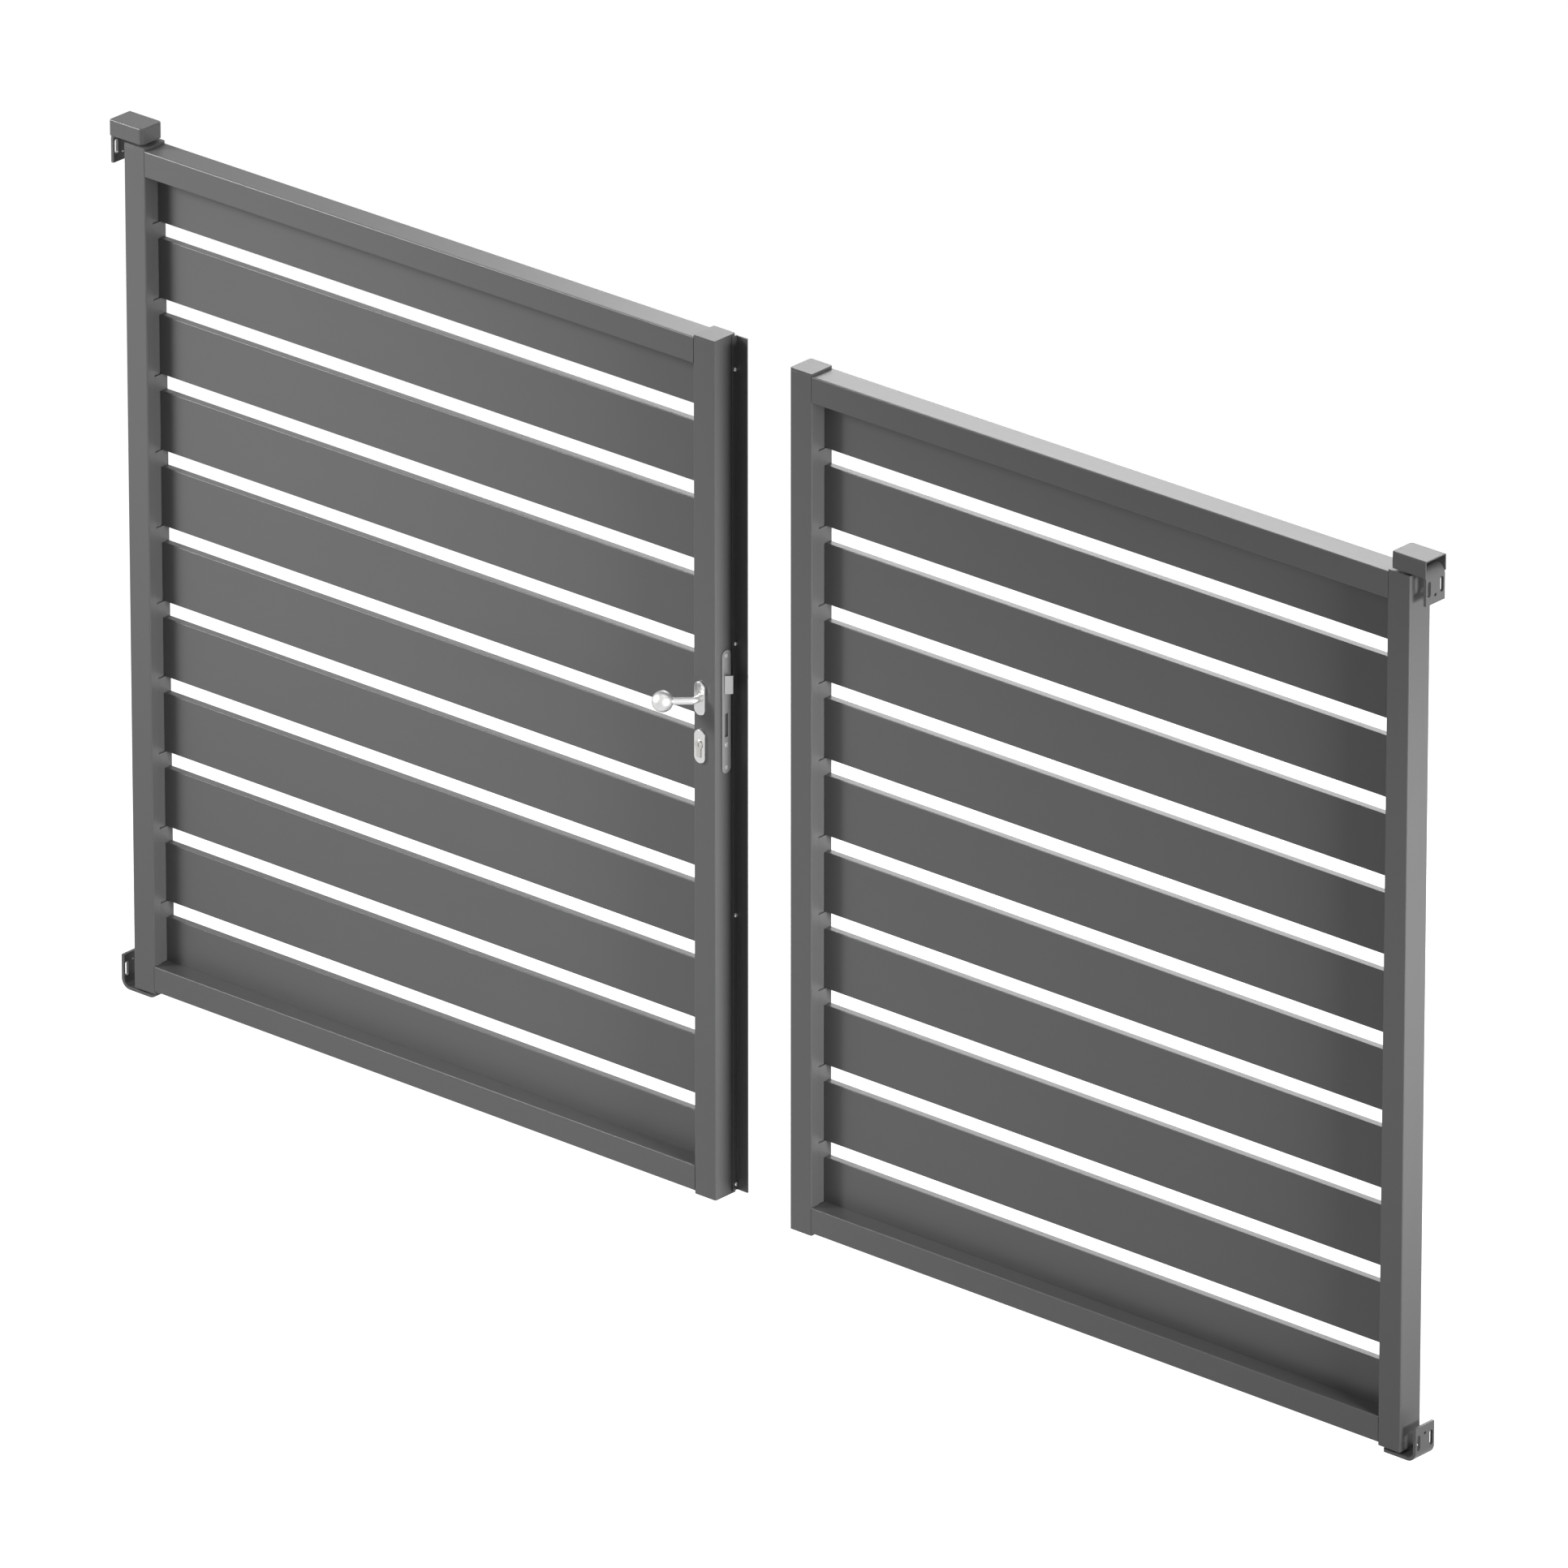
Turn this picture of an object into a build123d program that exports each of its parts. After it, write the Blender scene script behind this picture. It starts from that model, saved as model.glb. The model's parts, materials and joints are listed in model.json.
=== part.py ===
"""Double leaf gate with horizontal slats.

Two aluminium leaves stand in line. Each is a frame of two stiles and two rails with
slats housed in grooves of the frame. Each leaf turns on two pins, held by a top and
a bottom hinge plate that are bolted to the side of a gate pier. The left leaf carries
the lock, a fixed cranked knob outside, a lever inside and the stop profile.

X runs along the gate from the left pier to the right pier, Y runs from the street
to the inside and Z is up. The origin is the middle of the flat face with which the
left bottom hinge plate lies on its pier. All sizes are in millimetres.
"""

import os

from build123d import *

# Leaf sizes
leaf_width = 1465.0
leaf_height = 1720.0
leaf_spread = 183.0  # between the meeting stiles; about 10 when the gate is hung
frame_face = 52.0  # width of a stile or rail seen from the street
frame_depth = 57.0
frame_wall = 2.0
frame_corner = 2.5
cap_thickness = 5.0

# Slats, their grooves and the spacers between them
slat_height = 120.0
slat_gap = 34.0  # about; the height between the rails takes whole slats
slat_thickness = 16.0
slat_wall = 1.5
slat_corner = 1.5
slat_recess = 38.5  # from the street face of the frame to the slats
slat_end_housing = 8.0  # how far a slat enters a stile
top_slat_housing = 20.0  # how far the highest slat enters the top rail
bottom_slat_housing = 30.0
groove_start = 20.0  # from the street face of a stile to its groove
groove_step = 3.0  # depth of the groove in front of the slats
slot_clearance = 0.2
end_clearance = 0.5

# Hinge plates, pins and bushes
pier_to_leaf = 35.0
plate_width = 52.0
plate_height = 68.0
plate_thickness = 6.0
bend_radius = 20.0  # outer radius of the bend
arm_overhang = 17.0  # from the middle of the pin to the end of the arm
arm_corner = 6.0
top_arm_rise = 18.0  # from the top of the leaf to the top of the upper arm
pin_diameter = 16.0
pin_engagement = 30.0
pin_chamfer = 1.5
pin_clearance = 0.05
nut_diameter = 28.0
nut_height = 10.0
shoulder_diameter = 30.0
shoulder_height = 5.0
shoulder_clearance = 0.1
bush_depth = 40.0
plug_depth = 15.0
plug_clearance = 0.15
fixing_slot_width = 9.0
fixing_slot_length = 30.0
fixing_slot_spacing = 35.0
fixing_slot_shift = 3.0  # from the middle of the plate away from the arm
locating_hole_diameter = 6.0
locating_hole_shift = 18.0

# Hood over the upper hinge
hood_rise = 5.0  # from the top of the leaf to the lower edge of the hood
hood_height = 32.0
hood_wall = 2.2
hood_clearance = 0.3
hood_corner = 8.0  # upright corners of the far end
hood_edge = 3.0

# Lock, measured from the bottom of the leaf and from the meeting edge
spindle_height = 1004.0
lock_backset = 35.0
cylinder_drop = 92.0  # from the spindle to the key cylinder
faceplate_length = 245.0
faceplate_drop = 26.0  # from the spindle to the middle of the faceplate
faceplate_width = 24.0
faceplate_thickness = 3.0
faceplate_end_radius = 11.0
case_thickness = 15.0
case_depth = 44.0
case_height = 200.0
latch_rise = 29.0  # from the spindle to the latch
latch_height = 36.0
latch_thickness = 12.0
latch_reach = 11.0
latch_length = 30.0
latch_travel = 10.0
latch_bevel = 10.0
dead_bolt_rise = 39.0  # from the key cylinder to the dead bolt
dead_bolt_height = 46.0
dead_bolt_thickness = 8.0
dead_bolt_setback = 3.0
dead_bolt_travel = 18.0
dead_bolt_guide = 6.0  # length that stays in the case when the bolt is out
room_clearance = 1.5  # behind the latch and the dead bolt
sliding_clearance = 0.3

# Lock furniture
rose_width = 26.0
rose_height = 67.0
rose_thickness = 5.0
rose_edge = 1.2
escutcheon_drop = 4.0  # from the key cylinder to the middle of its escutcheon
spindle_size = 8.0
follower_hole = 12.4
knob_diameter = 41.0
knob_shift = 42.0  # from the spindle towards the hinge side
knob_projection = 58.0  # from the street face to the middle of the ball
neck_diameter = 14.0
neck_rise = 14.0
neck_bend = 12.0
lever_diameter = 18.0
lever_projection = 72.0  # from the inside face to the middle of the grip
lever_length = 118.0
lever_bend = 16.0
lever_end_radius = 4.0
lever_clearance = 0.05
cylinder_diameter = 17.0
cylinder_web = 10.0
cylinder_height = 33.0
cylinder_proud = 2.0
key_slot_width = 2.4
key_slot_height = 9.0
key_slot_depth = 12.0

# Stop profile and its screws
stop_reach = 28.0
stop_leg = 14.5
stop_thickness = 3.0
stop_screw_count = 4
stop_screw_first = 18.0  # from the bottom of the leaf
stop_screw_last = 70.0  # from the top of the leaf
screw_head_diameter = 8.0
screw_head_height = 2.2
screw_shank_diameter = 4.0
screw_length = 10.0

# Strike plate
strike_margin = 2.0  # round the latch and the dead bolt

# Places worked out from the sizes above
street_face = -frame_depth / 2
inside_face = frame_depth / 2
pier_to_pin = pier_to_leaf + frame_face / 2
gate_width = 2 * (pier_to_leaf + leaf_width) + leaf_spread
bottom_arm_underside = -plate_height / 2
bottom_arm_top = bottom_arm_underside + plate_thickness
leaf_bottom = bottom_arm_top + shoulder_height + shoulder_clearance
leaf_top = leaf_bottom + leaf_height
top_arm_top = leaf_top + top_arm_rise
top_plate_middle = top_arm_top - plate_height / 2
tube_bottom = leaf_bottom + cap_thickness
tube_top = leaf_top - cap_thickness
rail_length = leaf_width - 2 * frame_face
highest_slat = tube_top - frame_face + top_slat_housing - slat_height / 2
lowest_slat = tube_bottom + frame_face - bottom_slat_housing + slat_height / 2
slat_steps = round((highest_slat - lowest_slat) / (slat_height + slat_gap))
slat_pitch = (highest_slat - lowest_slat) / slat_steps
slat_levels = [highest_slat - i * slat_pitch for i in range(slat_steps + 1)]
gap_levels = [highest_slat - (i + 0.5) * slat_pitch for i in range(slat_steps)]
slat_middle = street_face + slat_recess + slat_thickness / 2
slot_width = slat_thickness + 2 * slot_clearance
slot_street_side = slat_middle - slot_width / 2
step_street_side = street_face + groove_start
slat_length = rail_length + 2 * (slat_end_housing - end_clearance)
spindle_level = leaf_bottom + spindle_height
cylinder_level = spindle_level - cylinder_drop
faceplate_level = spindle_level - faceplate_drop
latch_level = spindle_level + latch_rise
dead_bolt_level = cylinder_level + dead_bolt_rise
dead_bolt_length = dead_bolt_travel + dead_bolt_guide
latch_room = latch_length - latch_reach - faceplate_thickness + latch_travel
dead_bolt_room = dead_bolt_length - faceplate_thickness + dead_bolt_setback
room_depth = max(latch_room, dead_bolt_room) + room_clearance
stop_screw_line = inside_face + stop_thickness - stop_leg / 2
stop_screw_pitch = (leaf_height - stop_screw_first - stop_screw_last) / (stop_screw_count - 1)
stop_screw_levels = [
    leaf_bottom + stop_screw_first + i * stop_screw_pitch for i in range(stop_screw_count)
]


class Side:
    """One leaf: where its pier face is and which way the other leaf lies."""

    def __init__(self, name, pier, inward):
        self.name = name
        self.inward = inward
        self.pier = pier
        self.pin = pier + inward * pier_to_pin
        self.edge = pier + inward * (pier_to_leaf + leaf_width)
        self.meeting_stile = self.edge - inward * frame_face / 2
        self.middle = pier + inward * (pier_to_leaf + leaf_width / 2)


left = Side("left", 0.0, 1)
right = Side("right", gate_width, -1)
lock_x = left.edge - lock_backset


def write(part, node):
    """Labels a finished piece and writes the STEP file of its node."""
    part.label = node
    export_step(part, f"parts/{node}.step")


# Frame of a leaf


def stile(x, inward):
    """An upright whose groove for the slats opens inward, +1 or -1 along X."""
    groove_face = x + inward * frame_face / 2
    step_width = inside_face - step_street_side
    with BuildPart() as tube:
        with BuildSketch(Plane.XY.offset(tube_bottom)):
            with Locations((x, 0)):
                RectangleRounded(frame_face, frame_depth, frame_corner)
            with BuildSketch(mode=Mode.SUBTRACT):
                with Locations((x, 0)):
                    Rectangle(frame_face - 2 * frame_wall, frame_depth - 2 * frame_wall)
                with Locations((groove_face, step_street_side - frame_wall)):
                    Rectangle(
                        2 * (groove_step + frame_wall),
                        step_width + frame_wall,
                        align=(Align.CENTER, Align.MIN),
                        mode=Mode.SUBTRACT,
                    )
                with Locations((groove_face, slot_street_side - frame_wall)):
                    Rectangle(
                        2 * (slat_end_housing + frame_wall),
                        step_width,
                        align=(Align.CENTER, Align.MIN),
                        mode=Mode.SUBTRACT,
                    )
            with Locations((groove_face, 0)):
                groove_section(Mode.SUBTRACT)
        extrude(amount=tube_top - tube_bottom)
    return tube.part


def groove_section(mode, clearance=0.0):
    """The stepped section of a stile groove, drawn on both sides of its open face."""
    with Locations((0, slat_middle + slot_width / 2 - clearance)):
        Rectangle(
            2 * (slat_end_housing - clearance),
            slot_width - clearance,
            align=(Align.CENTER, Align.MAX),
            mode=mode,
        )
        Rectangle(
            2 * (groove_step - clearance),
            slat_middle + slot_width / 2 - step_street_side - 2 * clearance,
            align=(Align.CENTER, Align.MAX),
            mode=mode,
        )


def lock_stile():
    """The left meeting stile, cut for the lock case, the spindle and the cylinder."""
    with BuildPart() as cut_stile:
        add(stile(left.meeting_stile, -1))
        with Locations((left.edge, 0, faceplate_level)):
            Box(
                4 * frame_wall,
                case_thickness + 2 * sliding_clearance,
                case_height + 2 * sliding_clearance,
                mode=Mode.SUBTRACT,
            )
        with BuildSketch(Plane.XZ):
            with Locations((lock_x, spindle_level)):
                Circle(follower_hole / 2)
            with Locations((lock_x, cylinder_level)):
                cylinder_section(sliding_clearance)
        extrude(amount=frame_depth, both=True, mode=Mode.SUBTRACT)
        stop_screw_holes()
    return cut_stile.part


def strike_stile():
    """The right meeting stile, cut behind the strike plate."""
    with BuildPart() as cut_stile:
        add(stile(right.meeting_stile, 1))
        with BuildSketch(Plane.YZ.offset(right.edge - frame_wall)):
            strike_openings(Mode.ADD)
        extrude(amount=4 * frame_wall, mode=Mode.SUBTRACT)
    return cut_stile.part


def rail(side, level, inward):
    """A level tube between the stiles, slit along its inward wall for a slat."""
    with BuildPart() as tube:
        with BuildSketch(Plane.YZ.offset(side.middle)):
            with Locations((0, level)):
                RectangleRounded(frame_depth, frame_face, frame_corner)
                Rectangle(
                    frame_depth - 2 * frame_wall,
                    frame_face - 2 * frame_wall,
                    mode=Mode.SUBTRACT,
                )
            with Locations((slat_middle, level + inward * frame_face / 2)):
                Rectangle(slot_width, 4 * frame_wall, mode=Mode.SUBTRACT)
        extrude(amount=rail_length / 2, both=True)
    return tube.part


def slats(side):
    """The hollow slats of one leaf, from the top rail down."""
    with BuildPart() as blades:
        with BuildSketch(Plane.YZ.offset(side.middle)):
            with Locations([(slat_middle, level) for level in slat_levels]):
                RectangleRounded(slat_thickness, slat_height, slat_corner)
                Rectangle(
                    slat_thickness - 2 * slat_wall,
                    slat_height - 2 * slat_wall,
                    mode=Mode.SUBTRACT,
                )
        extrude(amount=slat_length / 2, both=True)
    return blades.part


def slat_spacers(side):
    """Blocks that fill both stile grooves between one slat and the next."""
    height = slat_pitch - slat_height - 2 * slot_clearance
    half_leaf = rail_length / 2
    with BuildPart() as blocks:
        for level in gap_levels:
            with BuildSketch(Plane.XY.offset(level - height / 2)):
                with Locations((side.middle - half_leaf, 0), (side.middle + half_leaf, 0)):
                    groove_section(Mode.ADD, slot_clearance)
                with Locations((side.middle, 0)):
                    Rectangle(2 * half_leaf, 2 * frame_depth, mode=Mode.SUBTRACT)
            extrude(amount=height)
    return blocks.part


def end_plug(x, level, up, depth, bored):
    """A cap on a stile end with its plug in the tube, bored where a pin turns in it."""
    plug_radius = frame_face / 2 - slat_end_housing - frame_wall - plug_clearance
    with BuildPart() as plug:
        with BuildSketch(Plane.XY.offset(level)):
            with Locations((x, 0)):
                RectangleRounded(frame_face, frame_depth, frame_corner)
        extrude(amount=up * cap_thickness)
        with BuildSketch(Plane.XY.offset(level)):
            with Locations((x, 0)):
                Circle(plug_radius)
        extrude(amount=-up * depth)
        if bored:
            with Locations((x, 0, level)):
                Cylinder(pin_diameter / 2 + pin_clearance, 3 * depth, mode=Mode.SUBTRACT)
    return plug.part


def pivot_bushes(side):
    """The bored plugs at both ends of the hinge stile."""
    with BuildPart() as bushes:
        add(end_plug(side.pin, tube_top, 1, bush_depth, True))
        add(end_plug(side.pin, tube_bottom, -1, bush_depth, True))
    return bushes.part


def end_caps(side):
    """The plain caps at both ends of the meeting stile."""
    with BuildPart() as caps:
        add(end_plug(side.meeting_stile, tube_top, 1, plug_depth, False))
        add(end_plug(side.meeting_stile, tube_bottom, -1, plug_depth, False))
    return caps.part


# Hinges


def far_uprights(piece, side):
    """The two upright edges of a piece that lie farthest from the pier."""
    uprights = piece.edges().filter_by(Axis.Z).sort_by(Axis.X)
    return uprights[-2:] if side.inward > 0 else uprights[:2]


def hinge_plate(side, arm_face, middle, up):
    """A strip bent from the pier face into an arm with rounded corners.

    arm_face is the level of the arm's outer face and up is the way to the free end.
    """
    half = plate_thickness / 2
    corner = (side.pier + side.inward * half, arm_face + up * half)
    free_end = (corner[0], arm_face + up * plate_height)
    arm_end = (side.pin + side.inward * arm_overhang, corner[1])
    with BuildPart() as plate:
        with BuildSketch(Plane.XZ):
            with BuildLine():
                FilletPolyline(free_end, corner, arm_end, radius=bend_radius - half)
            trace(line_width=plate_thickness)
        extrude(amount=plate_width / 2, both=True)
        fillet(far_uprights(plate, side), arm_corner)
        with BuildSketch(Plane.YZ.offset(side.pier)):
            with Locations((0, middle + up * fixing_slot_shift)):
                with GridLocations(fixing_slot_spacing, 0, 2, 1):
                    SlotOverall(fixing_slot_length, fixing_slot_width, rotation=90)
            with Locations((0, middle + up * locating_hole_shift)):
                Circle(locating_hole_diameter / 2)
        extrude(amount=2 * plate_thickness, both=True, mode=Mode.SUBTRACT)
        with Locations((side.pin, 0, arm_face)):
            Cylinder(pin_diameter / 2 + pin_clearance, 4 * plate_thickness, mode=Mode.SUBTRACT)
    return plate.part


def bottom_pin(side):
    """The fixed lower pin with the shoulder that carries the leaf."""
    with BuildPart() as pin:
        with BuildSketch(Plane.XY.offset(bottom_arm_underside)):
            with Locations((side.pin, 0)):
                Circle(pin_diameter / 2)
        extrude(amount=leaf_bottom + pin_engagement - bottom_arm_underside)
        chamfer(pin.edges().sort_by(Axis.Z)[-1], pin_chamfer)
        with BuildSketch(Plane.XY.offset(bottom_arm_top)):
            with Locations((side.pin, 0)):
                Circle(shoulder_diameter / 2)
        extrude(amount=shoulder_height)
    return pin.part


def top_pin(side):
    """The fixed upper pin, held by a nut above the arm and a collar below it."""
    with BuildPart() as pin:
        with BuildSketch(Plane.XY.offset(leaf_top - pin_engagement)):
            with Locations((side.pin, 0)):
                Circle(pin_diameter / 2)
        extrude(amount=top_arm_top + nut_height - leaf_top + pin_engagement)
        chamfer(pin.edges().sort_by(Axis.Z)[0], pin_chamfer)
        with BuildSketch(Plane.XY.offset(top_arm_top)):
            with Locations((side.pin, 0)):
                RegularPolygon(nut_diameter / 2, 6)
        extrude(amount=nut_height - pin_chamfer)
        with BuildSketch(Plane.XY.offset(leaf_top + shoulder_height)):
            with Locations((side.pin, 0)):
                Circle(shoulder_diameter / 2)
        extrude(amount=top_arm_rise - plate_thickness - shoulder_height)
    return pin.part


def hood_block(side, wall, height):
    """A block over the upper arm, rounded at its far corners and wall thicker than its hollow."""
    length = pier_to_pin + arm_overhang + hood_clearance + wall
    width = plate_width + 2 * (hood_clearance + wall)
    with BuildPart() as block:
        with Locations((side.pier + side.inward * length / 2, 0, leaf_top + hood_rise)):
            Box(length, width, height, align=(Align.CENTER, Align.CENTER, Align.MIN))
        fillet(far_uprights(block, side), hood_corner - hood_wall + wall)
    return block.part


def hinge_hood(side):
    """The hood that grips the upper arm, open below and towards the pier."""
    with BuildPart() as hood:
        add(hood_block(side, hood_wall, hood_height))
        rim = hood.faces().sort_by(Axis.Z)[-1].edges().sort_by(Axis.X)
        fillet(rim[1:] if side.inward > 0 else rim[:-1], hood_edge)
        add(hood_block(side, 0.0, hood_height - hood_wall), mode=Mode.SUBTRACT)
    return hood.part


# Lock


def cylinder_section(clearance=0.0):
    """The outline of the key cylinder, round above and narrow below, about its keyway."""
    Circle(cylinder_diameter / 2 + clearance)
    Rectangle(
        cylinder_web + 2 * clearance,
        cylinder_height - cylinder_diameter / 2 + clearance,
        align=(Align.CENTER, Align.MAX),
    )


def cased_opening(level, thickness, height, depth):
    """Cuts the room for a sliding bolt from the meeting edge into the open part."""
    with Locations((left.edge, 0, level)):
        Box(2 * depth, thickness, height, mode=Mode.SUBTRACT)


def latch_and_bolt_rooms(depth):
    room = 2 * sliding_clearance
    cased_opening(latch_level, latch_thickness + room, latch_height + room, depth)
    cased_opening(dead_bolt_level, dead_bolt_thickness + room, dead_bolt_height + room, depth)


def lock_case():
    """The closed case behind the faceplate with rooms for the latch and the dead bolt."""
    with BuildPart() as case:
        with Locations((left.edge, 0, faceplate_level)):
            Box(case_depth, case_thickness, case_height, align=(Align.MAX, Align.CENTER, Align.CENTER))
        latch_and_bolt_rooms(room_depth)
        with BuildSketch(Plane.XZ):
            with Locations((lock_x, spindle_level)):
                Circle(follower_hole / 2)
            with Locations((lock_x, cylinder_level)):
                cylinder_section(sliding_clearance)
        extrude(amount=case_thickness, both=True, mode=Mode.SUBTRACT)
    return case.part


def lock_faceplate():
    with BuildPart() as faceplate:
        with BuildSketch(Plane.YZ.offset(left.edge)):
            with Locations((0, faceplate_level)):
                RectangleRounded(faceplate_width, faceplate_length, faceplate_end_radius)
        extrude(amount=faceplate_thickness)
        latch_and_bolt_rooms(2 * faceplate_thickness)
    return faceplate.part


def latch_bolt():
    """The sprung latch, bevelled on the side that meets the strike plate."""
    nose = left.edge + faceplate_thickness + latch_reach
    with BuildPart() as latch:
        with Locations((nose, 0, latch_level)):
            Box(
                latch_length,
                latch_thickness,
                latch_height,
                align=(Align.MAX, Align.CENTER, Align.CENTER),
            )
        bevel_edge = latch.edges().filter_by(Axis.Z).group_by(Axis.X)[-1].sort_by(Axis.Y)[0]
        chamfer(bevel_edge, latch_bevel)
    return latch.part


def dead_bolt():
    nose = left.edge + faceplate_thickness - dead_bolt_setback
    with BuildPart() as bolt:
        with Locations((nose, 0, dead_bolt_level)):
            Box(
                dead_bolt_length,
                dead_bolt_thickness,
                dead_bolt_height,
                align=(Align.MAX, Align.CENTER, Align.CENTER),
            )
    return bolt.part


def strike_openings(mode):
    """The two openings of the strike plate, drawn on a plane across the gate."""
    with Locations((0, latch_level)):
        Rectangle(
            latch_thickness + 2 * strike_margin, latch_height + 2 * strike_margin, mode=mode
        )
    with Locations((0, dead_bolt_level)):
        Rectangle(
            dead_bolt_thickness + 2 * strike_margin,
            dead_bolt_height + 2 * strike_margin,
            mode=mode,
        )


def strike_plate():
    with BuildPart() as plate:
        with BuildSketch(Plane.YZ.offset(right.edge)):
            with Locations((0, faceplate_level)):
                RectangleRounded(faceplate_width, faceplate_length, faceplate_end_radius)
            strike_openings(Mode.SUBTRACT)
        extrude(amount=-faceplate_thickness)
    return plate.part


# Lock furniture


def rose_blank(face, outward, level):
    """An oblong plate with round ends on a face of the stile; outward is -1 or +1."""
    with BuildPart() as blank:
        with BuildSketch(Plane(origin=(lock_x, face, level), x_dir=(0, 0, 1), z_dir=(0, outward, 0))):
            SlotOverall(rose_height, rose_width)
        extrude(amount=rose_thickness)
        rim = blank.faces().sort_by(Axis.Y)[-1 if outward > 0 else 0]
        chamfer(rim.edges(), rose_edge)
    return blank.part


def knob_rose():
    return rose_blank(street_face, -1, spindle_level)


def lever_rose():
    """The inside rose, bored for the neck of the lever."""
    with BuildPart() as rose:
        add(rose_blank(inside_face, 1, spindle_level))
        with BuildSketch(Plane.XZ):
            with Locations((lock_x, spindle_level)):
                Circle(lever_diameter / 2 + lever_clearance)
        extrude(amount=frame_depth, both=True, mode=Mode.SUBTRACT)
    return rose.part


def escutcheon(face, outward):
    """A rose with the opening for the key cylinder."""
    with BuildPart() as plate:
        add(rose_blank(face, outward, cylinder_level - escutcheon_drop))
        with BuildSketch(Plane.XZ):
            with Locations((lock_x, cylinder_level)):
                cylinder_section(sliding_clearance)
        extrude(amount=frame_depth, both=True, mode=Mode.SUBTRACT)
    return plate.part


def ball_knob():
    """The fixed knob: a ball on a neck that leans away from the meeting edge."""
    root = (lock_x, street_face - rose_thickness, spindle_level)
    bend = (lock_x, street_face - rose_thickness - neck_rise, spindle_level)
    centre = (lock_x - knob_shift, street_face - knob_projection, spindle_level)
    with BuildPart() as knob:
        with BuildLine():
            FilletPolyline(root, bend, centre, radius=neck_bend)
        with BuildSketch(Plane(origin=root, z_dir=(0, -1, 0))):
            Circle(neck_diameter / 2)
        sweep()
        with Locations(centre):
            Sphere(knob_diameter / 2)
    return knob.part


def inside_lever():
    """The lever with its square spindle, which reaches into the lock case."""
    start = (lock_x, inside_face, spindle_level)
    corner = (lock_x, inside_face + lever_projection, spindle_level)
    tip = (lock_x - lever_length, inside_face + lever_projection, spindle_level)
    with BuildPart() as lever:
        with BuildLine():
            FilletPolyline(start, corner, tip, radius=lever_bend)
        with BuildSketch(Plane(origin=start, z_dir=(0, 1, 0))):
            Circle(lever_diameter / 2)
        sweep()
        fillet(lever.faces().sort_by(Axis.X)[0].edges(), lever_end_radius)
        with BuildSketch(Plane.XZ.offset(-inside_face)):
            with Locations((lock_x, spindle_level)):
                Rectangle(spindle_size, spindle_size)
        extrude(amount=inside_face + case_thickness / 2)
    return lever.part


def key_cylinder():
    """The cylinder that passes through the stile and both escutcheons."""
    end = inside_face + rose_thickness + cylinder_proud
    with BuildPart() as cylinder:
        with BuildSketch(Plane.XZ):
            with Locations((lock_x, cylinder_level)):
                cylinder_section()
        extrude(amount=end, both=True)
        with Locations((lock_x, -end, cylinder_level), (lock_x, end, cylinder_level)):
            Box(key_slot_width, 2 * key_slot_depth, key_slot_height, mode=Mode.SUBTRACT)
    return cylinder.part


# Stop profile


def stop_screw_holes():
    """Drills the open part for the screws of the stop profile."""
    with Locations([(left.edge, stop_screw_line, level) for level in stop_screw_levels]):
        Cylinder(
            screw_shank_diameter / 2 + slot_clearance,
            4 * stop_thickness,
            rotation=(0, 90, 0),
            mode=Mode.SUBTRACT,
        )


def stop_profile():
    """The angle on the left meeting edge that closes behind the right leaf."""
    with BuildPart() as angle:
        with BuildSketch(Plane.XY.offset(tube_bottom)):
            with Locations((left.edge, inside_face)):
                Rectangle(stop_reach, stop_thickness, align=(Align.MIN, Align.MIN))
            with Locations((left.edge, inside_face + stop_thickness)):
                Rectangle(stop_thickness, stop_leg, align=(Align.MIN, Align.MAX))
        extrude(amount=tube_top - tube_bottom)
        stop_screw_holes()
    return angle.part


def stop_screws():
    """The round-headed screws that hold the stop profile to the stile."""
    seat = left.edge + stop_thickness
    with BuildPart() as screws:
        with BuildSketch(Plane.YZ.offset(seat)):
            with Locations([(stop_screw_line, level) for level in stop_screw_levels]):
                Circle(screw_head_diameter / 2)
        extrude(amount=screw_head_height)
        with BuildSketch(Plane.YZ.offset(seat)):
            with Locations([(stop_screw_line, level) for level in stop_screw_levels]):
                Circle(screw_shank_diameter / 2)
        extrude(amount=-screw_length)
    return screws.part


os.makedirs("parts", exist_ok=True)

for side in (left, right):
    write(stile(side.pin, side.inward), f"{side.name}_hinge_stile")
    write(rail(side, tube_top - frame_face / 2, -1), f"{side.name}_top_rail")
    write(rail(side, tube_bottom + frame_face / 2, 1), f"{side.name}_bottom_rail")
    write(slats(side), f"{side.name}_slats")
    write(slat_spacers(side), f"{side.name}_slat_spacers")
    write(pivot_bushes(side), f"{side.name}_pivot_bushes")
    write(end_caps(side), f"{side.name}_end_caps")
    write(hinge_plate(side, bottom_arm_underside, 0.0, 1), f"{side.name}_bottom_hinge_plate")
    write(hinge_plate(side, top_arm_top, top_plate_middle, -1), f"{side.name}_top_hinge_plate")
    write(bottom_pin(side), f"{side.name}_bottom_pin")
    write(top_pin(side), f"{side.name}_top_pin")
    write(hinge_hood(side), f"{side.name}_hinge_hood")
write(lock_stile(), "left_lock_stile")
write(strike_stile(), "right_meeting_stile")
write(stop_profile(), "stop_profile")
write(stop_screws(), "stop_profile_screws")
write(lock_case(), "lock_case")
write(lock_faceplate(), "lock_faceplate")
write(latch_bolt(), "latch_bolt")
write(dead_bolt(), "dead_bolt")
write(strike_plate(), "strike_plate")
write(knob_rose(), "knob_rose")
write(ball_knob(), "ball_knob")
write(escutcheon(street_face, -1), "front_escutcheon")
write(escutcheon(inside_face, 1), "back_escutcheon")
write(lever_rose(), "lever_rose")
write(inside_lever(), "inside_lever")
write(key_cylinder(), "key_cylinder")
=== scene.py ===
import json
import math

import bmesh
import bpy
from mathutils import Matrix, Vector


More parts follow.
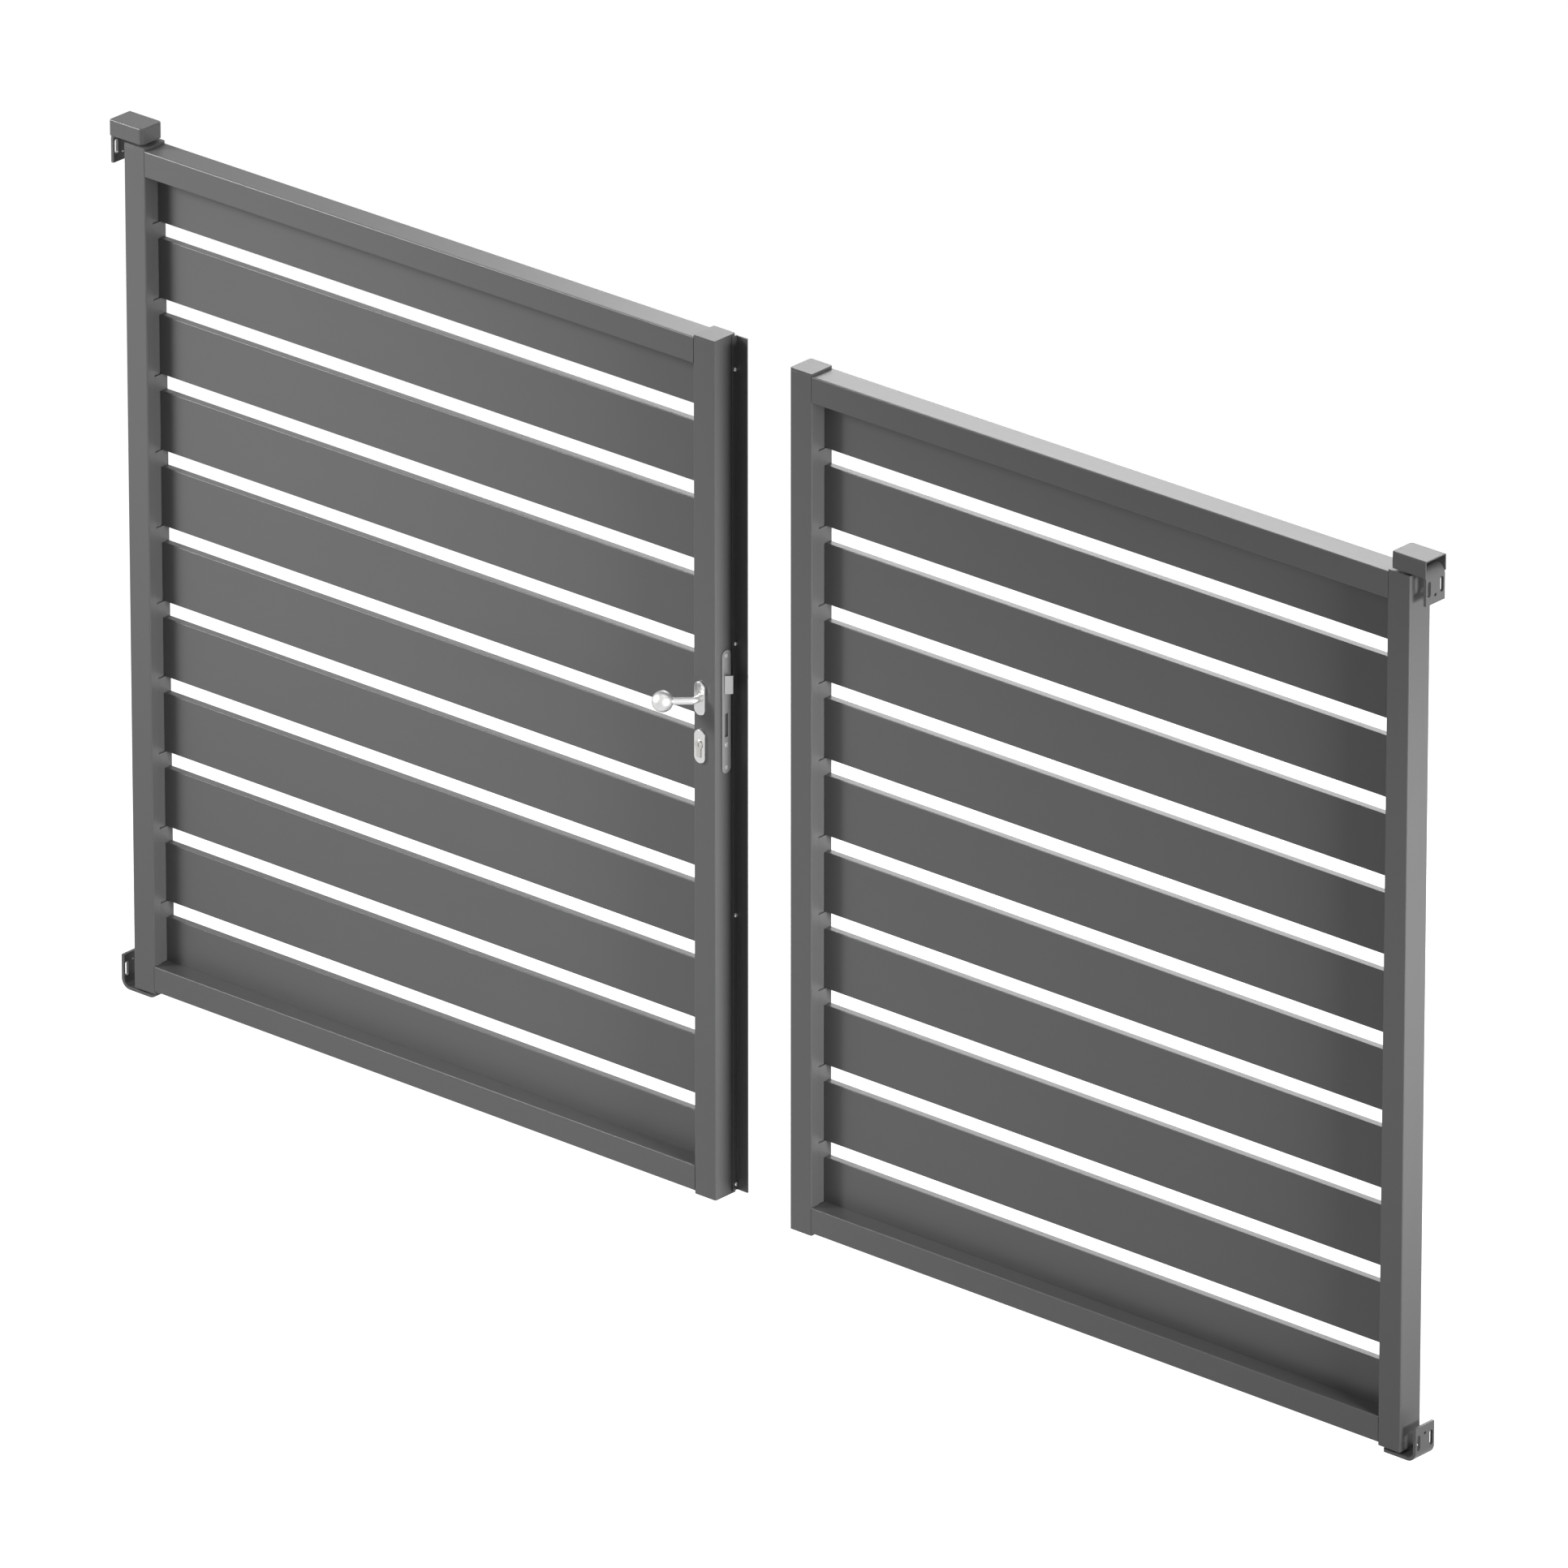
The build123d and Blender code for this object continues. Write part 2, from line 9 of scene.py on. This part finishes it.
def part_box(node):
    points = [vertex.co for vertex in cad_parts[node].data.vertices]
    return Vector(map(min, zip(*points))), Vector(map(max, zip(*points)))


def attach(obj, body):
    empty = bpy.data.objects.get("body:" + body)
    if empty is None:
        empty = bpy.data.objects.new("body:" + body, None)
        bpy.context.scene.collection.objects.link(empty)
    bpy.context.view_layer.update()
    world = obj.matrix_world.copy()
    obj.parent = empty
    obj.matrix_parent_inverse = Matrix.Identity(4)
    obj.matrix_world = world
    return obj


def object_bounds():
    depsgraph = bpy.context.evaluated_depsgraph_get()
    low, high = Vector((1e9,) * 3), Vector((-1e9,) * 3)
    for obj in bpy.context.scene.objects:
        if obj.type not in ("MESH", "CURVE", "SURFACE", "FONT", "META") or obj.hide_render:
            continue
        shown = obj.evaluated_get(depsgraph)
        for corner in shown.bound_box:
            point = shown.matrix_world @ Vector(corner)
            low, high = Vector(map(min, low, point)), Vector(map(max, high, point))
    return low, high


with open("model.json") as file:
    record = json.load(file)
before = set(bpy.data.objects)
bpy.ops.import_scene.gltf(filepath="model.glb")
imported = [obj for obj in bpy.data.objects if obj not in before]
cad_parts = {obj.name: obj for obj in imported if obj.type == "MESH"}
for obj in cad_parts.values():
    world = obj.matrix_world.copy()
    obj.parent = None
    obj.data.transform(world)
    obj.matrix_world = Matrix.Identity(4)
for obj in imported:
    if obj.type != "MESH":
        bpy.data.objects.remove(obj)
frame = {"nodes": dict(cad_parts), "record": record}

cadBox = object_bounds()
nodes = frame["nodes"]
print("frame loaded:", len(nodes), "nodes")


# Small helpers for shader nodes

white = (1, 1, 1, 1)
noiseMiddle = 0.5  # a noise swings about this value
bevelSamples = 6


def addNode(tree, kind, place, **values):
    node = tree.nodes.new(kind)
    node.location = place
    for name, value in values.items():
        setattr(node, name, value)
    return node


def addMath(tree, operation, place, *values):
    # each value is a number, or the socket that it comes from
    node = addNode(tree, "ShaderNodeMath", place, operation=operation)
    for socket, value in zip(node.inputs, values):
        if isinstance(value, (int, float)):
            socket.default_value = value
        else:
            tree.links.new(value, socket)
    return node.outputs[0]


def newGroup(name, inputs):
    group = bpy.data.node_groups.new(name, "ShaderNodeTree")
    for label, kind, default in inputs:
        socket = group.interface.new_socket(label, in_out="INPUT", socket_type=kind)
        socket.default_value = default
    for label, kind in (
        ("Colour", "NodeSocketColor"),
        ("Roughness", "NodeSocketFloat"),
        ("Normal", "NodeSocketVector"),
    ):
        group.interface.new_socket(label, in_out="OUTPUT", socket_type=kind)
    start = addNode(group, "NodeGroupInput", (-900, 0))
    end = addNode(group, "NodeGroupOutput", (900, 0))
    return group, start, end


def addNoise(group, vector, detail, place):
    noise = addNode(group, "ShaderNodeTexNoise", place)
    noise.inputs["Detail"].default_value = detail
    group.links.new(vector, noise.inputs["Vector"])
    return noise


def addSwing(group, noise, place):
    # the noise as a swing to both sides of nought
    return addMath(group, "SUBTRACT", place, noise.outputs["Fac"], noiseMiddle)


def tintColour(group, start, end, value):
    tint = addNode(group, "ShaderNodeHueSaturation", (350, 500))
    group.links.new(start.outputs["Colour"], tint.inputs["Color"])
    group.links.new(value, tint.inputs["Value"])
    group.links.new(tint.outputs["Color"], end.inputs["Colour"])


def varyRoughness(group, start, end, swing):
    spread, middle = start.outputs["Roughness Spread"], start.outputs["Roughness"]
    rough = addMath(group, "MULTIPLY_ADD", (100, 250), swing, spread, middle)
    group.links.new(rough, end.inputs["Roughness"])


def bumpNormal(group, start, end, noise, depthLabel, distance):
    # the bump lies on edges that are already softened
    softened = addNode(group, "ShaderNodeBevel", (100, -200), samples=bevelSamples)
    group.links.new(start.outputs["Edge Softness"], softened.inputs["Radius"])
    bump = addNode(group, "ShaderNodeBump", (400, -100))
    bump.inputs["Distance"].default_value = distance
    group.links.new(start.outputs[depthLabel], bump.inputs["Strength"])
    group.links.new(noise.outputs["Fac"], bump.inputs["Height"])
    group.links.new(softened.outputs["Normal"], bump.inputs["Normal"])
    group.links.new(bump.outputs["Normal"], end.inputs["Normal"])


# Effects that several materials share

coatEffect = {
    "grainDetail": 3,
    "grainDistance": 0.0002,  # metres between the grain's low and high points
    "slowScale": 3.2,  # unevenness over a few decimetres
    "slowDetail": 4,
}
brushEffect = {
    "lineDetail": 4,
    "lineDistance": 0.0001,
    "lineShade": 0.18,  # how far the lines lighten and darken the colour
}


def makePowderCoat():
    # fine texture of a baked coat: a tight grain over a very slow unevenness
    group, start, end = newGroup(
        "powder coat",
        [
            ("Colour", "NodeSocketColor", (0.1, 0.1, 0.1, 1)),
            ("Colour Spread", "NodeSocketFloat", 0.06),
            ("Roughness", "NodeSocketFloat", 0.5),
            ("Roughness Spread", "NodeSocketFloat", 0.1),
            ("Grain Size", "NodeSocketFloat", 1400.0),
            ("Grain Height", "NodeSocketFloat", 0.25),
            ("Edge Softness", "NodeSocketFloat", 0.0008),
        ],
    )
    c = coatEffect
    place = addNode(group, "ShaderNodeTexCoord", (-900, 400)).outputs["Object"]
    grain = addNoise(group, place, c["grainDetail"], (-600, 200))
    group.links.new(start.outputs["Grain Size"], grain.inputs["Scale"])
    slow = addNoise(group, place, c["slowDetail"], (-600, 500))
    slow.inputs["Scale"].default_value = c["slowScale"]

    slowSwing = addSwing(group, slow, (-350, 500))
    spread = start.outputs["Colour Spread"]
    value = addMath(group, "MULTIPLY_ADD", (0, 500), slowSwing, spread, 1.0)
    tintColour(group, start, end, value)
    varyRoughness(group, start, end, addSwing(group, grain, (-350, 250)))
    bumpNormal(group, start, end, grain, "Grain Height", c["grainDistance"])
    return group


def makeBrushedMetal():
    # fine lines left by brushing, drawn out along one axis
    group, start, end = newGroup(
        "brushed metal",
        [
            ("Colour", "NodeSocketColor", (0.6, 0.6, 0.6, 1)),
            ("Line Stretch", "NodeSocketVector", (900.0, 900.0, 12.0)),
            ("Line Depth", "NodeSocketFloat", 0.12),
            ("Roughness", "NodeSocketFloat", 0.28),
            ("Roughness Spread", "NodeSocketFloat", 0.12),
            ("Edge Softness", "NodeSocketFloat", 0.0004),
        ],
    )
    b = brushEffect
    place = addNode(group, "ShaderNodeTexCoord", (-900, 400)).outputs["Object"]
    stretched = addNode(group, "ShaderNodeVectorMath", (-650, 300), operation="MULTIPLY")
    group.links.new(place, stretched.inputs[0])
    group.links.new(start.outputs["Line Stretch"], stretched.inputs[1])
    lines = addNoise(group, stretched.outputs[0], b["lineDetail"], (-400, 300))
    lines.inputs["Scale"].default_value = 1.0  # the stretch sets the size of the lines

    swing = addSwing(group, lines, (-150, 300))
    value = addMath(group, "MULTIPLY_ADD", (100, 500), swing, b["lineShade"], 1.0)
    tintColour(group, start, end, value)
    varyRoughness(group, start, end, swing)
    bumpNormal(group, start, end, lines, "Line Depth", b["lineDistance"])
    return group


powderCoat = makePowderCoat()
brushedMetal = makeBrushedMetal()
print("shared effects made")


# Materials

specularOf = {"coat": 0.42, "metal": 0.5}
frameCoat = {
    "Colour": (0.083, 0.083, 0.084, 1),
    "Colour Spread": 0.08,
    "Roughness": 0.4,
    "Roughness Spread": 0.12,
    "Grain Size": 1500.0,
    "Grain Height": 0.22,
    "Edge Softness": 0.0008,
}
slatCoat = {**frameCoat, "Edge Softness": 0.0006, "Colour Spread": 0.1}
hingeCoat = {**frameCoat, "Roughness": 0.42, "Grain Height": 0.35, "Grain Size": 1100.0}
capPlastic = {
    "Colour": (0.08, 0.08, 0.081, 1),
    "Colour Spread": 0.04,
    "Roughness": 0.42,
    "Roughness Spread": 0.08,
    "Grain Size": 900.0,
    "Grain Height": 0.4,
    "Edge Softness": 0.0007,
}
satinSteel = {
    "Colour": (0.6, 0.6, 0.595, 1),
    "Line Stretch": (900.0, 900.0, 25.0),
    "Line Depth": 0.1,
    "Roughness": 0.28,
    "Roughness Spread": 0.08,
    "Edge Softness": 0.0003,
}
# steel darker than the satin steel: painted shade on the faceplate and strike plate
plateSteelPaintedShade = {
    **satinSteel,
    "Colour": (0.34, 0.34, 0.34, 1),
    "Roughness": 0.38,
    "Roughness Spread": 0.14,
}
handleSteel = {
    **satinSteel,
    "Line Stretch": (60.0, 500.0, 500.0),
    "Line Depth": 0.01,
    "Roughness": 0.42,
    "Roughness Spread": 0.03,
}
lockSteel = {**satinSteel, "Colour": (0.42, 0.42, 0.42, 1), "Roughness": 0.36}
# the dead bolt's steel is darkened: painted shade for the shaded opening it sits back in
boltSteelPaintedShade = {**satinSteel, "Colour": (0.15, 0.15, 0.15, 1), "Roughness": 0.46}
pinZinc = {**satinSteel, "Colour": (0.58, 0.59, 0.6, 1), "Roughness": 0.34}
cylinderNickel = {**satinSteel, "Colour": (0.48, 0.47, 0.45, 1), "Roughness": 0.32}


def materialFrom(name, group, settings, metallic, specular):
    material = bpy.data.materials.new(name)
    material.use_nodes = True
    tree = material.node_tree
    shader = tree.nodes["Principled BSDF"]
    shader.inputs["Metallic"].default_value = metallic
    shader.inputs["Specular IOR Level"].default_value = specular
    effect = addNode(tree, "ShaderNodeGroup", (-350, 100), node_tree=group)
    for label, value in settings.items():
        effect.inputs[label].default_value = value
    tree.links.new(effect.outputs["Colour"], shader.inputs["Base Color"])
    tree.links.new(effect.outputs["Roughness"], shader.inputs["Roughness"])
    tree.links.new(effect.outputs["Normal"], shader.inputs["Normal"])
    return material


def coated(name, settings):
    return materialFrom(name, powderCoat, settings, 0.0, specularOf["coat"])


def bareMetal(name, settings):
    return materialFrom(name, brushedMetal, settings, 1.0, specularOf["metal"])


finishes = {
    "frame_grey": coated("frame powder coat", frameCoat),
    "slat_grey": coated("slat powder coat", slatCoat),
    "hinge_steel": coated("hinge powder coat", hingeCoat),
    "cap_plastic": coated("moulded cap plastic", capPlastic),
    "satin_steel": bareMetal("satin steel", satinSteel),
    "handle_steel": bareMetal("satin handle steel", handleSteel),
    "plate_steel": bareMetal("plate steel with painted shade", plateSteelPaintedShade),
    "lock_steel": bareMetal("plated lock steel", lockSteel),
    "bolt_steel": bareMetal("bolt steel with painted shade", boltSteelPaintedShade),
    "pin_steel": bareMetal("zinc plated steel", pinZinc),
    "cylinder_nickel": bareMetal("matt nickel", cylinderNickel),
}
# the faceplate, strike plate and dead bolt get darkened steel as painted shade; the knob and lever
# get a rougher steel
ownFinish = {
    "lock_faceplate": "plate_steel",
    "strike_plate": "plate_steel",
    "dead_bolt": "bolt_steel",
    "ball_knob": "handle_steel",
    "inside_lever": "handle_steel",
}


def dressNodes():
    finishOf = {s["node"]: s["material_slot"] for s in frame["record"]["subparts"]}
    finishOf.update(ownFinish)
    for name, obj in nodes.items():
        for slot in obj.material_slots:
            slot.material = finishes[finishOf[name]]


dressNodes()
print("materials given to every node")


# Forms of the screws and of the key cylinder's plug, in millimetres


def roundOutline(radius, steps):
    turn = 2 * math.pi / steps
    return [(radius * math.cos(i * turn), radius * math.sin(i * turn)) for i in range(steps)]


def crossOutline(arm, width):
    half = width / 2
    quarter = [(arm, -half), (arm, half), (half, half)]
    points = []
    for _ in range(4):
        points += quarter
        quarter = [(-y, x) for x, y in quarter]
    return points


millimetre = 0.001
ringSteps = 32
# a profile runs from the shank to the rim of the recess, as radius and height
screwKinds = {
    "countersunk": {
        "profile": [(3.2, -0.8), (3.9, -0.1), (4.0, 0.0), (4.0, 0.2), (3.8, 0.34), (3.0, 0.38)],
        "recess": crossOutline(2.1, 0.9),
        "recessDepth": 0.9,
        "taper": 0.8,
    },
    "panHead": {
        "profile": [(4.15, -2.0), (4.15, -0.3), (4.0, 0.15), (3.5, 0.6), (2.8, 0.95), (2.3, 1.08)],
        "recess": crossOutline(1.9, 0.85),
        "recessDepth": 1.4,
        "taper": 0.8,
    },
    "cylinderScrew": {
        "profile": [(3.8, -0.8), (4.6, -0.1), (4.7, 0.0), (4.7, 0.2), (4.5, 0.34), (3.4, 0.38)],
        "recess": crossOutline(2.5, 1.0),
        "recessDepth": 1.0,
        "taper": 0.8,
    },
    "grubScrew": {
        "profile": [(2.2, -1.0), (2.5, -0.4), (2.5, 0.1), (2.3, 0.26), (1.8, 0.3)],
        "recess": roundOutline(1.35, 6),
        "recessDepth": 1.2,
        "taper": 0.95,
    },
}
plugFace = {
    "radius": 6.4,
    "rim": 0.3,
    "height": 0.4,
    "sink": 0.4,
    "keyway": [
        (0.9, 4.2), (-0.9, 4.2), (-0.9, 2.6), (-0.3, 2.2), (-0.3, 1.0), (-0.9, 0.6),
        (-0.9, -1.4), (-0.2, -1.8), (-0.2, -3.0), (-0.8, -3.4), (-0.8, -4.2), (0.5, -4.2),
        (0.5, -2.6), (1.0, -2.2), (1.0, -0.2), (0.4, 0.2), (0.4, 1.8), (0.9, 2.2),
    ],
}


def ringOf(work, outline, height, matrix):
    return [work.verts.new(matrix @ Vector((x, y, height))) for x, y in outline]


def joinRings(work, lower, upper):
    for i in range(len(lower)):
        j = (i + 1) % len(lower)
        work.faces.new((lower[i], lower[j], upper[j], upper[i]))


def fillBetween(work, outer, inner):
    # the flat face between a round rim and the opening in its middle
    edges = []
    for ring in (outer, inner):
        for i in range(len(ring)):
            pair = (ring[i], ring[(i + 1) % len(ring)])
            edges.append(work.edges.get(pair) or work.edges.new(pair))
    bmesh.ops.triangle_fill(work, edges=edges, use_beauty=True)


def turnProfile(work, profile, matrix):
    rings = [
        ringOf(work, roundOutline(radius, ringSteps), height, matrix) for radius, height in profile
    ]
    for lower, upper in zip(rings, rings[1:]):
        joinRings(work, lower, upper)
    return rings


def addScrew(work, kind, matrix):
    form = screwKinds[kind]
    rings = turnProfile(work, form["profile"], matrix)
    work.faces.new(list(reversed(rings[0])))
    top = form["profile"][-1][1]
    mouth = ringOf(work, form["recess"], top, matrix)
    fillBetween(work, rings[-1], mouth)
    narrowed = [(x * form["taper"], y * form["taper"]) for x, y in form["recess"]]
    floor = ringOf(work, narrowed, top - form["recessDepth"], matrix)
    joinRings(work, mouth, floor)
    work.faces.new(floor)


def addPlugFace(work, matrix):
    # the turning plug of the lock cylinder, with its keyway open into the slot behind
    p = plugFace
    profile = [
        (p["radius"], -p["sink"]),
        (p["radius"], p["height"] - p["rim"]),
        (p["radius"] - p["rim"], p["height"]),
    ]
    rings = turnProfile(work, profile, matrix)
    mouth = ringOf(work, p["keyway"], p["height"], matrix)
    back = ringOf(work, p["keyway"], -p["sink"], matrix)
    fillBetween(work, rings[-1], mouth)
    fillBetween(work, rings[0], back)
    joinRings(work, back, mouth)


def placeAt(point, facing, spin):
    turn = Vector(facing).to_track_quat("Z", "Y").to_matrix().to_4x4()
    spun = turn @ Matrix.Rotation(math.radians(spin), 4, "Z")
    return Matrix.Translation(point) @ spun @ Matrix.Scale(millimetre, 4)


def finishPiece(name, work, slot, body):
    bmesh.ops.recalc_face_normals(work, faces=work.faces)
    mesh = bpy.data.meshes.new(name)
    work.to_mesh(mesh)
    work.free()
    mesh.materials.append(finishes[slot])
    piece = bpy.data.objects.new(name, mesh)
    bpy.context.scene.collection.objects.link(piece)
    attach(piece, body)


def addScrewSet(name, kind, slot, body, facing, points, spins):
    work = bmesh.new()
    for point, spin in zip(points, spins):
        addScrew(work, kind, placeAt(point, facing, spin))
    finishPiece(name, work, slot, body)


def middleOf(node):
    low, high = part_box(node)
    return (low + high) / 2


# Places of the screws, in metres

towardsRight, towardsLeft = (1, 0, 0), (-1, 0, 0)
towardsStreet, towardsYard, down = (0, -1, 0), (0, 1, 0), (0, 0, -1)
spins = [18.0, 64.0, 37.0, 81.0]  # degrees; no two screws stop in line

plateScrews = {"kind": "countersunk", "slot": "satin_steel", "inset": 0.011}


def addPlateScrews(name, node, body, facing, turns):
    p = plateScrews
    low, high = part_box(node)
    x = high.x if facing == towardsRight else low.x
    points = [(x, middleOf(node).y, z) for z in (low.z + p["inset"], high.z - p["inset"])]
    addScrewSet(name, p["kind"], p["slot"], body, facing, points, turns)


cylinderScrew = {"kind": "cylinderScrew", "slot": "satin_steel", "cylinderRadius": 0.0085}


def keyLevel():
    # the plug turns in the upper, round part of the cylinder
    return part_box("key_cylinder")[1].z - cylinderScrew["cylinderRadius"]


def addCylinderScrew():
    c = cylinderScrew
    point = (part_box("lock_faceplate")[1].x, middleOf("lock_faceplate").y, keyLevel())
    addScrewSet(
        "cylinder_fixing_screw", c["kind"], c["slot"], "left_leaf", towardsRight, [point], spins[2:],
    )


roseScrews = {
    "kind": "countersunk",
    "slot": "satin_steel",
    "spacing": {"lever_rose": 0.05, "back_escutcheon": 0.052},
}


def addRoseScrews():
    r = roseScrews
    for node, spacing in r["spacing"].items():
        outer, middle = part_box(node)[1].y, middleOf(node)
        points = [(middle.x, outer, middle.z + side * spacing / 2) for side in (-1, 1)]
        addScrewSet(
            node + "_screws", r["kind"], r["slot"], "left_leaf", towardsYard, points, spins[1:],
        )


grubScrew = {"kind": "grubScrew", "slot": "lock_steel", "fromRose": 0.008, "leverRadius": 0.009}


def addLeverGrubScrew():
    g = grubScrew
    middle = middleOf("lever_rose")
    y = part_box("lever_rose")[1].y + g["fromRose"]
    point = (middle.x, y, middle.z - g["leverRadius"])
    addScrewSet("lever_grub_screw", g["kind"], g["slot"], "lever", down, [point], spins)


def addKeyPlugs():
    # cylinder, rose and spindle stand in one upright line
    x = middleOf("lever_rose").x
    low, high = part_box("key_cylinder")
    for name, y, facing in (
        ("street_key_plug", low.y, towardsStreet),
        ("inside_key_plug", high.y, towardsYard),
    ):
        work = bmesh.new()
        addPlugFace(work, placeAt((x, y, keyLevel()), facing, 0.0))
        finishPiece(name, work, "cylinder_nickel", "left_leaf")


stopHeads = {"kind": "panHead", "slot": "pin_steel", "headRadius": 0.004, "count": 4}


def addStopScrewHeads():
    # domed heads with a cross recess over the plain ones
    s = stopHeads
    low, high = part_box("stop_profile_screws")
    first, last = low.z + s["headRadius"], high.z - s["headRadius"]
    pitch = (last - first) / (s["count"] - 1)
    y = middleOf("stop_profile_screws").y
    points = [(high.x, y, first + i * pitch) for i in range(s["count"])]
    addScrewSet(
        "stop_screw_heads", s["kind"], s["slot"], "left_leaf", towardsRight, points, spins,
    )


addPlateScrews("faceplate_screws", "lock_faceplate", "left_leaf", towardsRight, spins)
addCylinderScrew()
addPlateScrews("strike_plate_screws", "strike_plate", "right_leaf", towardsLeft, spins[1:])
addRoseScrews()
addLeverGrubScrew()
addKeyPlugs()
addStopScrewHeads()
print("screws and key plugs added")


# Camera, taken from the photo

cameraSetup = {
    "target": (1.6, 0.0, 0.84),  # metres
    "azimuth": 41.317,  # degrees
    "elevation": 23.645,
    "distance": 41.344,
    "focalPixels": 27804.4,
    "imagePixels": 1932,
    "sensor": 36.0,
    "across": 0.0324,  # shift of the target in the picture's plane
    "above": -0.0015,
    "clipStart": 1.0,
    "clipEnd": 200.0,
}


def makeCamera():
    c = cameraSetup
    around, up = math.radians(c["azimuth"]), math.radians(c["elevation"])
    level = math.cos(up)
    back = Vector((math.sin(around) * level, -math.cos(around) * level, math.sin(up)))
    right = Vector((math.cos(around), math.sin(around), 0))
    top = back.cross(right)
    data = bpy.data.cameras.new("photo camera")
    data.sensor_width = c["sensor"]
    data.lens = c["focalPixels"] / c["imagePixels"] * c["sensor"]
    data.clip_start, data.clip_end = c["clipStart"], c["clipEnd"]
    camera = bpy.data.objects.new("photo camera", data)
    bpy.context.scene.collection.objects.link(camera)
    target = Vector(c["target"]) + right * c["across"] + top * c["above"]
    camera.location = target + back * c["distance"]
    camera.rotation_mode = "QUATERNION"
    camera.rotation_quaternion = (-back).to_track_quat("-Z", "Y")
    bpy.context.scene.camera = camera


makeCamera()


# Floor, world and lamps


def seenOrMirrored(tree):
    # one where the camera or a gloss sees the background, nought where it only lights
    ray = addNode(tree, "ShaderNodeLightPath", (-600, 300))
    return addMath(
        tree, "MAXIMUM", (-400, 200), ray.outputs["Is Camera Ray"], ray.outputs["Is Glossy Ray"],
    )


floorSetup = {
    "drop": 0.03,  # below the lowest plate, in metres
    "reach": 60.0,
    "colour": (0.55, 0.55, 0.55, 1),
    "roughness": 0.9,
    "glow": 0.9,  # brings the floor up to the white of the background
}


def makeFloor():
    f = floorSetup
    mesh = bpy.data.meshes.new("floor")
    work = bmesh.new()
    bmesh.ops.create_grid(work, x_segments=1, y_segments=1, size=f["reach"])
    work.to_mesh(mesh)
    work.free()
    floor = bpy.data.objects.new("floor", mesh)
    floor.location = (0, 0, cadBox[0].z - f["drop"])
    bpy.context.scene.collection.objects.link(floor)
    material = bpy.data.materials.new("pale floor")
    material.use_nodes = True
    tree = material.node_tree
    shader = tree.nodes["Principled BSDF"]
    shader.inputs["Base Color"].default_value = f["colour"]
    shader.inputs["Roughness"].default_value = f["roughness"]
    shader.inputs["Specular IOR Level"].default_value = 0.0
    shader.inputs["Emission Color"].default_value = white
    glow = addMath(tree, "MULTIPLY", (-250, 300), seenOrMirrored(tree), f["glow"])
    tree.links.new(glow, shader.inputs["Emission Strength"])
    mesh.materials.append(material)


worldSetup = {"light": 0.2, "seen": 1.0}


def makeWorld():
    world = bpy.data.worlds.new("studio")
    bpy.context.scene.world = world
    world.use_nodes = True
    tree = world.node_tree
    background = tree.nodes["Background"]
    background.inputs["Color"].default_value = white
    strength = addNode(tree, "ShaderNodeMapRange", (-200, 200))
    strength.inputs["To Min"].default_value = worldSetup["light"]
    strength.inputs["To Max"].default_value = worldSetup["seen"]
    tree.links.new(seenOrMirrored(tree), strength.inputs["Value"])
    tree.links.new(strength.outputs["Result"], background.inputs["Strength"])


# metres, watts and degrees
lamps = {
    "leftKey": {
        "at": (-3.3, -3.1, 3.7), "to": (-0.3, 0.0, 1.8),
        "size": 2.8, "power": 47.0, "spread": 31.0,
    },
    "rightFill": {
        "at": (7.6, -0.8, 1.8), "to": (2.6, 0.0, 0.9),
        "size": 1.3, "power": 26.0, "spread": 34.0,
    },
    "overhead": {
        "at": (2.4, 0.9, 4.2), "to": (2.1, 0.1, 1.2),
        "size": 3.0, "power": 13.0, "spread": 80.0,
    },
    "backSoft": {
        "at": (-0.9, 4.7, 3.7), "to": (2.3, 0.0, 1.3),
        "size": 3.0, "power": 23.0, "spread": 64.0,
    },
}


def makeLamps():
    for name, lamp in lamps.items():
        data = bpy.data.lights.new(name, "AREA")
        data.size = lamp["size"]
        data.energy = lamp["power"]
        data.spread = math.radians(lamp["spread"])
        light = bpy.data.objects.new(name, data)
        light.location = lamp["at"]
        aim = Vector(lamp["to"]) - Vector(lamp["at"])
        light.rotation_mode = "QUATERNION"
        light.rotation_quaternion = aim.to_track_quat("-Z", "Y")
        bpy.context.scene.collection.objects.link(light)


makeFloor()
makeWorld()
makeLamps()
bpy.context.scene.view_settings.view_transform = "Standard"
print("stage, lamps and camera made")
